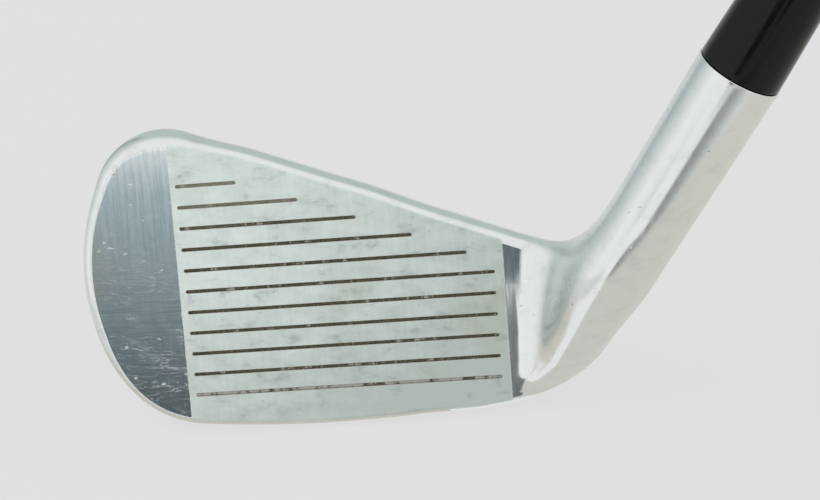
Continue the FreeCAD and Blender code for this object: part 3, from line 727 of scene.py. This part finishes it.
    # relief in millimetres
    cuts = s.times(s.times(marks, -0.003), s.minus(1.0, blast))
    height = s.plus(s.times(s.swing(streak, 0.5), 0.0012), cuts)
    height = s.plus(height, s.times(dent, -0.035))
    height = s.plus(height, s.times(s.times(s.plus(s.times(grain, 0.7), sand), 0.012), blast))

    dirt = s.math("MAXIMUM", s.times(dent, 0.5), s.times(scuffs, 0.55))
    return s.finish(Base_Color=s.mix(dirt, s.mix(blast, polished, blasted), stain),
                    Metallic=s.between(blast, 0.0, 1.0, 1.0, 0.45),
                    Roughness=rough.outputs[0], Normal=s.bump(height))


def groove_material():
    s = Surface("score_line_grime")
    face = s.face_mm()
    _, u, n = s.split(face)
    deep = s.between(n, -0.03, -0.2)
    patch = s.noise(s.place(face, (0.7, 0.5, 1.0)), 1.0, 5.0, 0.65)
    crumbs = s.noise(face, 4.0, 3.0, 0.6)
    speckle = s.between(crumbs, 0.35, 0.7)
    # the lowest line is worn bright in places, and the upper ones hold paler grime
    worn_low = s.between(u, -14.5, -16.5)
    clean = s.between(s.plus(patch, s.times(worn_low, 0.15)), 0.57, 0.66)
    dark_grime = s.mix(speckle, rgb(60, 60, 44), rgb(122, 119, 96))
    pale_grime = s.mix(speckle, rgb(128, 128, 110), rgb(170, 170, 156))
    upper = s.between(s.math("MULTIPLY_ADD", patch, 7.0, u), 12.5, 20.5)
    grime = s.mix(upper, dark_grime, pale_grime)
    share = s.times(deep, s.minus(1.0, s.times(clean, 0.85)))
    return s.finish(Base_Color=s.mix(share, rgb(205, 205, 200), grime),
                    Metallic=s.between(clean, 0.0, 1.0, 0.25, 0.9),
                    Roughness=s.between(crumbs, 0.3, 0.7, 0.45, 0.8),
                    Normal=s.bump(crumbs, 0.06))


def shaft_material():
    s = Surface("plated_shaft_steel")
    where = s.axis_mm()
    ring = s.noise(s.place(where, (0.05, 0.05, 3.0)), 1.0, 3.0, 0.6)
    spots = s.noise(where, 0.35, 5.0, 0.6)
    pits = s.add("ShaderNodeTexVoronoi", {"feature": "F1"}, Vector=where, Scale=0.5)
    pit = s.times(s.between(pits.outputs["Distance"], 0.03, 0.12, 1.0, 0.0), s.between(spots, 0.58, 0.66))
    colour = s.mix(s.between(spots, 0.4, 0.75), rgb(226, 228, 230), rgb(204, 206, 208))
    return s.finish(Base_Color=s.mix(s.times(pit, 0.8), colour, rgb(104, 84, 62)), Metallic=1.0,
                    Roughness=s.plus(s.between(ring, 0.3, 0.7, 0.07, 0.13), s.times(pit, 0.4)),
                    Normal=s.bump(s.plus(s.times(ring, 0.0006), s.times(pit, -0.02))))


def ferrule_material():
    s = Surface("ferrule_gloss_plastic")
    where = s.axis_mm()
    dust = s.noise(where, 3.5, 3.0, 0.6)
    swirl = s.noise(s.place(where, (0.15, 0.15, 2.5), (0.2, 0.1, 0.0)), 1.0, 3.0)
    haze = s.noise(where, 0.25, 3.0)
    return s.finish(Base_Color=s.mix(s.between(dust, 0.62, 0.75), rgb(9, 9, 10), rgb(26, 26, 27)),
                    Roughness=s.plus(s.between(haze, 0.35, 0.7, 0.12, 0.2),
                                     s.between(swirl, 0.6, 0.75, 0.0, 0.08)),
                    Specular_IOR_Level=0.24, Normal=s.bump(swirl, 0.0015))


def band_material():
    s = Surface("band_printed_film")
    where = s.axis_mm()
    foot_along = float(AXIS_FOOT @ AXIS_DIR)
    along = s.minus(s.split(where)["Z"], foot_along)
    scuff = s.noise(s.place(where, (1.0, 1.0, 4.0)), 1.0, 4.0, 0.6)
    # a silver stripe a little way in from each edge
    from_middle = s.math("ABSOLUTE", s.minus(along, 577.0))
    stripe = s.times(s.between(from_middle, 13.2, 13.6), s.between(from_middle, 15.0, 14.6))
    silver = s.mix(s.between(scuff, 0.55, 0.8), rgb(196, 198, 202), rgb(150, 150, 150))
    navy = s.mix(s.between(scuff, 0.5, 0.8), rgb(24, 30, 48), rgb(58, 62, 74))
    return s.finish(Base_Color=s.mix(stripe, navy, silver),
                    Roughness=s.between(scuff, 0.35, 0.75, 0.2, 0.42),
                    Coat_Weight=0.4, Normal=s.bump(scuff, 0.01))


def rubber_material(name, tone):
    s = Surface(name)
    where = s.axis_mm()
    grain = s.noise(where, 3.2, 4.0, 0.65)
    wear = s.noise(where, 0.09, 4.0, 0.6)
    dust = s.noise(where, 1.4, 5.0, 0.6)
    colour = s.mix(s.between(wear, 0.4, 0.7), rgb(*tone), rgb(*[v + 16 for v in tone]))
    colour = s.mix(s.times(s.between(dust, 0.6, 0.8), 0.4), colour, rgb(86, 84, 80))
    return s.finish(Base_Color=colour, Roughness=s.between(wear, 0.3, 0.7, 0.52, 0.78),
                    Specular_IOR_Level=0.35, Normal=s.bump(grain, 0.07))


def inner_material(name, one, two, metallic, rough):
    s = Surface(name)
    grain = s.noise(s.millimetres(), 1.1, 4.0, 0.6)
    return s.finish(Base_Color=s.mix(s.between(grain, 0.35, 0.7), rgb(*one), rgb(*two)),
                    Metallic=metallic,
                    Roughness=s.between(grain, 0.3, 0.7, rough - 0.08, rough + 0.1),
                    Normal=s.bump(grain, 0.03))


# ---------------------------------------------------------------- pieces

def hosel_stations():
    """The upper hosel, its rim and the start of its bore."""
    out = []
    for i in range(41):
        s = TUBE_START + (HOSEL_TOP - RIM_ROUNDING - TUBE_START) * i / 40.0
        out.append((s, float(hosel_radius(s)) + 0.01))
    r = out[-1][1]
    for t in quarter(6):
        out.append((HOSEL_TOP - RIM_ROUNDING * (1.0 - math.sin(t)),
                    r - RIM_ROUNDING * (1.0 - math.cos(t))))
    out += [(HOSEL_TOP, 5.2), (HOSEL_TOP - 0.3, BORE_R), (TUBE_START, BORE_R)]
    return out


def join_hosel(head, tube):
    """One mesh of the net-shaped head and its turned tube, keeping both sets of normals."""
    with bpy.context.temp_override(active_object=head, selected_editable_objects=[head, tube],
                                   object=head, selected_objects=[head, tube]):
        bpy.ops.object.join()


def build_pieces():
    steel = head_material()
    head = link("forged_head", finish_head(make_head()), steel, groove_material())
    tube_mesh = turned("hosel_tube", hosel_stations(), 160)
    corner = np.empty(len(tube_mesh.loops) * 3)
    tube_mesh.corner_normals.foreach_get("vector", corner)
    tube_mesh.normals_split_custom_set([tuple(v) for v in corner.reshape(-1, 3)])
    join_hosel(head, link("hosel_tube", tube_mesh, steel))
    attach(head, "root")
    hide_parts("head")

    rubber = rubber_material("grip_rubber_mould", (40, 40, 41))
    cap_rubber = rubber_material("cap_rubber_mould", (30, 30, 31))
    plastic = ferrule_material()
    lathe = (
        ("ferrule_collar", "ferrule", "ferrule_plastic", plastic, ferrule_stations(), 192, None),
        ("stepped_shaft", "shaft", "shaft_steel", shaft_material(), shaft_stations(), 128, None),
        ("grip_sleeve_mould", "grip_sleeve", "grip_rubber", rubber, grip_stations(), 152, grip_relief),
        ("grip_end_cap", "grip_cap", "cap_rubber", cap_rubber, cap_stations(), 160, None),
    )
    for name, node, slot, material, stations, segments, relief in lathe:
        piece = link(name, turned(name, stations, segments, relief), material)
        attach(piece, "root")
        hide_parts(node)

    carried = {
        "shaft_band": band_material(),
        "hosel_epoxy": inner_material("cured_epoxy", (172, 150, 96), (146, 124, 74), 0.0, 0.35),
        "tip_weight": inner_material("turned_brass", (196, 160, 92), (172, 136, 72), 1.0, 0.3),
        "grip_tape": inner_material("tape_paper", (206, 198, 176), (184, 174, 150), 0.0, 0.75),
    }
    for node, material in carried.items():
        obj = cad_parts[node]
        for slot in obj.material_slots:
            slot.link = "OBJECT"
            slot.material = material
        if not obj.material_slots:
            obj.data.materials.append(material)


# ---------------------------------------------------------------- studio

def scaled(tone, strength):
    return tuple(c * strength for c in tone) + (1.0,)


def glow(name, low, high, strength_low, strength_high, axis="X", bend=1.0):
    """Light-giving material whose brightness runs from one side of a card to the other."""
    s = Surface(name, "ShaderNodeEmission")
    share = s.math("POWER", s.split(s.coord("Generated"))[axis], bend)
    return s.finish(Color=s.mix(share, scaled(low, strength_low), scaled(high, strength_high)))


def shade(name, tone, strength, foot, width):
    """Dark sheet, opaque at its slanting edge and clear a little way to the right of it."""
    s = Surface(name, "ShaderNodeMixShader")
    shift = s.add("ShaderNodeVectorMath", {"operation": "SUBTRACT"}, i0=s.coord("Object"), i1=foot)
    slant = (math.sin(LIE) / width, 0.0, -math.cos(LIE) / width)
    across = s.add("ShaderNodeVectorMath", {"operation": "DOT_PRODUCT"}, i0=shift.outputs[0], i1=slant)
    dark = s.add("ShaderNodeEmission", Color=scaled(tone, strength))
    clear = s.add("ShaderNodeBsdfTransparent")
    return s.finish(i0=s.between(across.outputs["Value"], 0.0, 1.0, 0.15, 1.0),
                    i1=dark.outputs[0], i2=clear.outputs[0])


def wall(x0, x1, z0, z1):
    """Corners of an upright sheet between the camera and the club."""
    y = -0.60
    return [(x0, y, z0), (x1, y, z0), (x1, y, z1), (x0, y, z1)]


def level(z, *spots):
    """Corners of a sheet just above the floor."""
    return [(x, y, z) for x, y in spots]


def card(name, corners, material):
    """A sheet that only reflections see."""
    mesh = bpy.data.meshes.new(name)
    mesh.from_pydata([Vector(c) for c in corners], [], [tuple(range(len(corners)))])
    obj = link(name, mesh, material)
    obj.visible_camera = False
    obj.visible_diffuse = False
    obj.visible_shadow = False
    obj.visible_transmission = False


def build_floor():
    size = 30.0
    mesh = bpy.data.meshes.new("floor")
    mesh.from_pydata([(-size, -size, 0.0), (size, -size, 0.0), (size, size, 0.0), (-size, size, 0.0)],
                     [], [(0, 1, 2, 3)])
    s = Surface("pale_floor")
    s.finish(Base_Color=(0.10, 0.10, 0.10, 1.0), Roughness=0.9, Specular_IOR_Level=0.0,
             Emission_Color=(1.0, 1.0, 1.0, 1.0), Emission_Strength=0.655)
    link("floor", mesh, s.material)


def build_world():
    """Near white on the camera's side and grey-green behind the club."""
    world = bpy.data.worlds.new("studio")
    bpy.context.scene.world = world
    s = Nodes(world, "ShaderNodeBackground", "ShaderNodeOutputWorld")
    behind = s.between(s.split(s.coord("Generated"))["Y"], -0.15, 0.40)
    s.put(s.shader, "Color", s.mix(behind, (1.05, 1.05, 1.05, 1.0), (0.62, 0.70, 0.65, 1.0)))
    s.put(s.shader, "Strength", 0.90)


def build_cards():
    deep = (0.80, 1.0, 1.05)
    warm = (1.0, 0.94, 0.84)
    white = (1.0, 1.0, 1.0)
    # what the polished flats of the face mirror, darker toward the ground
    card("dark_toe", wall(-0.33, -0.12, 0.03, 0.25),
         glow("dark_toe_tone", deep, (0.80, 1.0, 1.08), 0.02, 0.57, "Z", 1.4))
    card("dark_heel", wall(-0.03, 0.14, 0.001, 0.28),
         glow("dark_heel_tone", deep, (0.82, 0.98, 1.02), 0.02, 0.26, "Z"))
    card("pale_heel", wall(-0.12, -0.03, 0.001, 0.28),
         glow("pale_heel_tone", white, (0.80, 0.98, 1.12), 0.92, 0.30))

    # bright sheets mirrored by the left of the hosel, whose slanting edge draws its sharp line
    edge = Vector(AXIS_DIR)
    foot = Vector((0.0217, -0.094, 0.023)) - edge * 0.024
    top = foot + edge * 0.047
    left, near, high = -0.036, -0.094, 0.12
    card("bright_strip", [(left, near, foot.z), foot, top, (0.014, near, top.z), (0.014, near, high),
                          (left, near, high)],
         glow("bright_strip_tone", white, white, 0.93, 0.98))
    card("bright_floor", level(0.0003, (0.036, -0.004), (0.010, near), (left, near), (left, -0.015)),
         glow("bright_floor_tone", white, white, 0.93, 0.93))
    card("bright_left", [(-0.25, -0.12, 0.001), (-0.25, 0.32, 0.001), (-0.25, 0.32, 0.40),
                         (-0.25, -0.12, 0.40)],
         glow("bright_left_tone", white, deep, 1.0, 0.36, "Y"))

    # the warm right of the hosel, the sole, and the dark beside the sharp line
    card("warm_floor", level(0.0003, (0.0365, -0.004), (0.060, 0.040), (0.160, 0.040), (0.160, near),
                             (0.0105, near)),
         glow("warm_floor_tone", (0.98, 1.0, 0.93), warm, 0.66, 0.74))
    card("warm_under", level(0.0006, (-0.070, -0.022), (0.018, -0.022), (0.026, 0.020), (-0.070, 0.020)),
         glow("warm_under_tone", warm, warm, 0.66, 0.66))
    aside = Vector((0.12, 0.0, 0.0))
    card("shade_hosel", [foot, foot + aside, top + aside, top],
         shade("shade_hosel_tone", (0.93, 1.0, 0.98), 0.22, foot, 0.075))


def build_lamp():
    lamp = bpy.data.lights.new("soft_key", "AREA")
    lamp.shape = "DISK"
    lamp.size = 0.9
    lamp.energy = 3.0
    key = bpy.data.objects.new("soft_key", lamp)
    bpy.context.scene.collection.objects.link(key)
    key.visible_glossy = False
    key.location = (-0.7, -0.1, 1.1)
    aim = Vector((0.0, 0.0, 0.02)) - key.location
    key.rotation_euler = aim.to_track_quat("-Z", "Y").to_euler()


def build_camera():
    """The photo's view, as fitted to the score lines and the hosel."""
    data = bpy.data.cameras.new("photo_view")
    data.lens = 62.9
    data.sensor_width = 36.0
    data.clip_start = 0.01
    data.clip_end = 50.0
    camera = bpy.data.objects.new("photo_view", data)
    bpy.context.scene.collection.objects.link(camera)
    forward = Vector((-0.0753, 0.8491, -0.5229)).normalized()
    up = Vector((0.0679, 0.5275, 0.8468))
    right = forward.cross(up).normalized()
    up = right.cross(forward).normalized()
    camera.matrix_world = Matrix((
        (right.x, up.x, -forward.x, 0.0342),
        (right.y, up.y, -forward.y, -0.2001),
        (right.z, up.z, -forward.z, 0.1531),
        (0.0, 0.0, 0.0, 1.0),
    ))
    scene = bpy.context.scene
    scene.camera = camera
    scene.view_settings.view_transform = "Standard"
    scene.view_settings.look = "None"


build_pieces()
build_floor()
build_world()
build_cards()
build_lamp()
build_camera()
